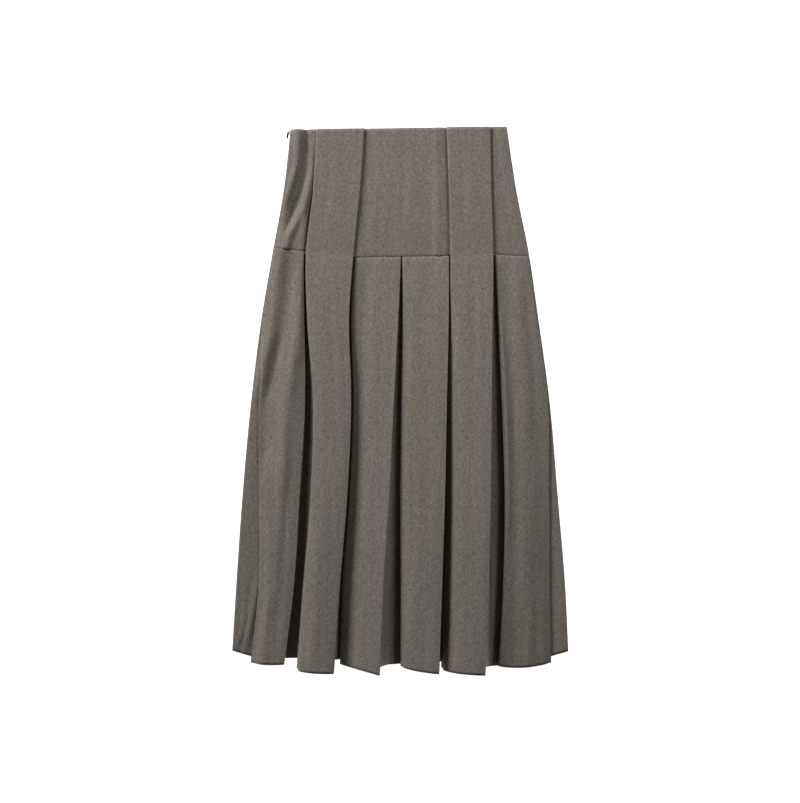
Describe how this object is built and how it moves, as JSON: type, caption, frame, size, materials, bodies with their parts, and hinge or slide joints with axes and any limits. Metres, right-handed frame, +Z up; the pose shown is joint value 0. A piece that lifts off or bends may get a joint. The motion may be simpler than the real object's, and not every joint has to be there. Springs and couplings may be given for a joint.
{
  "type": "pleated maxi skirt",
  "caption": "Long flared skirt laid flat, with a fitted hip yoke, long inverted pleats that open toward the hem and a short zip in the side seam.",
  "frame": {"origin": "centre of the skirt's outline, on the surface that it lies on", "axes": "+Y towards the waist, +X to the viewer's right, +Z up from the surface"},
  "size_m": [0.5447, 0.8845, 0.0466],
  "materials": {
    "suiting": "matt",
    "zip_tape": "matt",
    "zip_metal": "satin"
  },
  "bodies": {
    "skirt": {"front_centre_yoke": "suiting", "front_side_yoke_left": "suiting", "front_side_yoke_right": "suiting", "front_long_pleat_left": "suiting", "front_long_pleat_right": "suiting", "front_centre_panel_left": "suiting", "front_centre_panel_right": "suiting", "front_side_panel_left": "suiting", "front_side_panel_right": "suiting", "back_centre_yoke": "suiting", "back_side_yoke_left": "suiting", "back_side_yoke_right": "suiting", "back_long_pleat_left": "suiting", "back_long_pleat_right": "suiting", "back_centre_panel": "suiting", "back_side_panel_left": "suiting", "back_side_panel_right": "suiting", "side_zip_chain": "zip_tape", "zip_slider": "zip_metal"},
    "pull_tab": {"zip_pull_tab": "zip_metal"}
  },
  "joints": [
    {"name": "pull_tab_hinge", "type": "hinge", "parent": "skirt", "child": "pull_tab", "pos_m": [-0.18094, 0.4355, 0.0036], "axis": [0, 0, 1], "range_deg": [-132, 3]}
  ]
}
